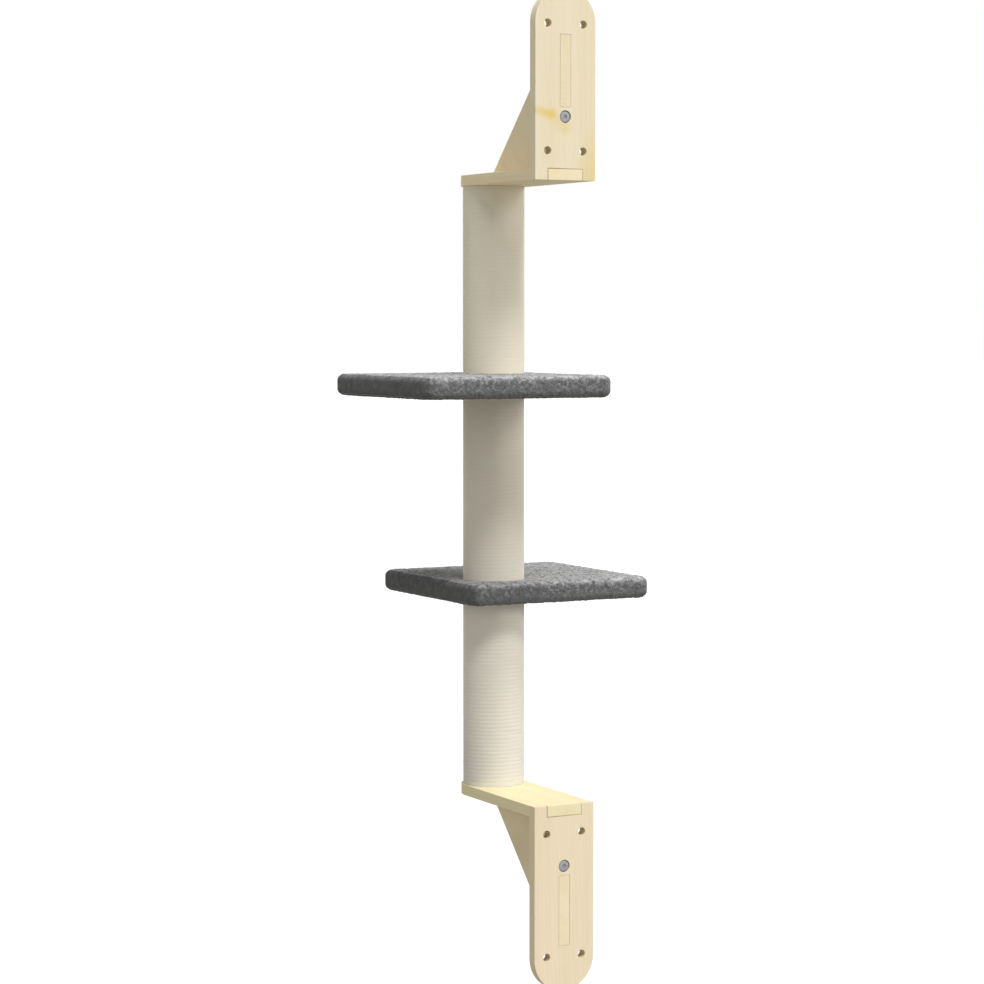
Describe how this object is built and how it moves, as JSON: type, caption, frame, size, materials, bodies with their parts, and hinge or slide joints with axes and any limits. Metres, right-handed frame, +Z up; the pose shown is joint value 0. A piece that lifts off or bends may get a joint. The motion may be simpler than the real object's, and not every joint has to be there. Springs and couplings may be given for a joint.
{
  "type": "wall mounted cat tree",
  "caption": "Rope-wound post held off a wall by pine brackets at both ends, with square plush platforms that a cat climbs and lies on.",
  "frame": {"origin": "centre of the lower wall plate's screw hole pattern, on the face that meets the wall", "axes": "+Z up along the post, +Y into the wall (the room is on the -Y side), +X along the wall"},
  "size_m": [0.386, 0.378, 1.251],
  "materials": {
    "pine": "bare sanded pine",
    "rope": "fine twisted cream rope",
    "cardboard": "wound kraft cardboard",
    "cap_wood": "bare fibreboard",
    "chipboard": "bare chipboard",
    "plush": "dark grey short-pile plush",
    "zinc_steel": "bright zinc plate",
    "insert_brass": "yellow zinc plate"
  },
  "bodies": {
    "frame": {"lower_wall_plate": "pine", "lower_arm_board": "pine", "lower_gusset": "pine", "lower_gusset_bolt": "zinc_steel", "lower_cross_dowel": "zinc_steel", "lower_post_bolt": "zinc_steel", "upper_wall_plate": "pine", "upper_arm_board": "pine", "upper_gusset": "pine", "upper_gusset_bolt": "zinc_steel", "upper_cross_dowel": "zinc_steel", "upper_post_bolt": "zinc_steel", "lower_post_tube": "cardboard", "middle_post_tube": "cardboard", "upper_post_tube": "cardboard", "lower_post_rope": "rope", "middle_post_rope": "rope", "upper_post_rope": "rope", "lower_post_bottom_cap": "cap_wood", "lower_post_top_cap": "cap_wood", "middle_post_bottom_cap": "cap_wood", "middle_post_top_cap": "cap_wood", "upper_post_bottom_cap": "cap_wood", "upper_post_top_cap": "cap_wood", "threaded_inserts": "insert_brass", "lower_platform_stud": "zinc_steel", "upper_platform_stud": "zinc_steel"},
    "lower_platform": {"lower_platform_board": "chipboard", "lower_platform_cover": "plush"},
    "upper_platform": {"upper_platform_board": "chipboard", "upper_platform_cover": "plush"}
  },
  "joints": [
    {"name": "lower_platform_turn", "type": "hinge", "parent": "frame", "child": "lower_platform", "pos_m": [0, -0.19, 0.3695], "axis": [0, 0, 1], "continuous": true},
    {"name": "upper_platform_turn", "type": "hinge", "parent": "frame", "child": "upper_platform", "pos_m": [0, -0.19, 0.6375], "axis": [0, 0, 1], "continuous": true}
  ]
}
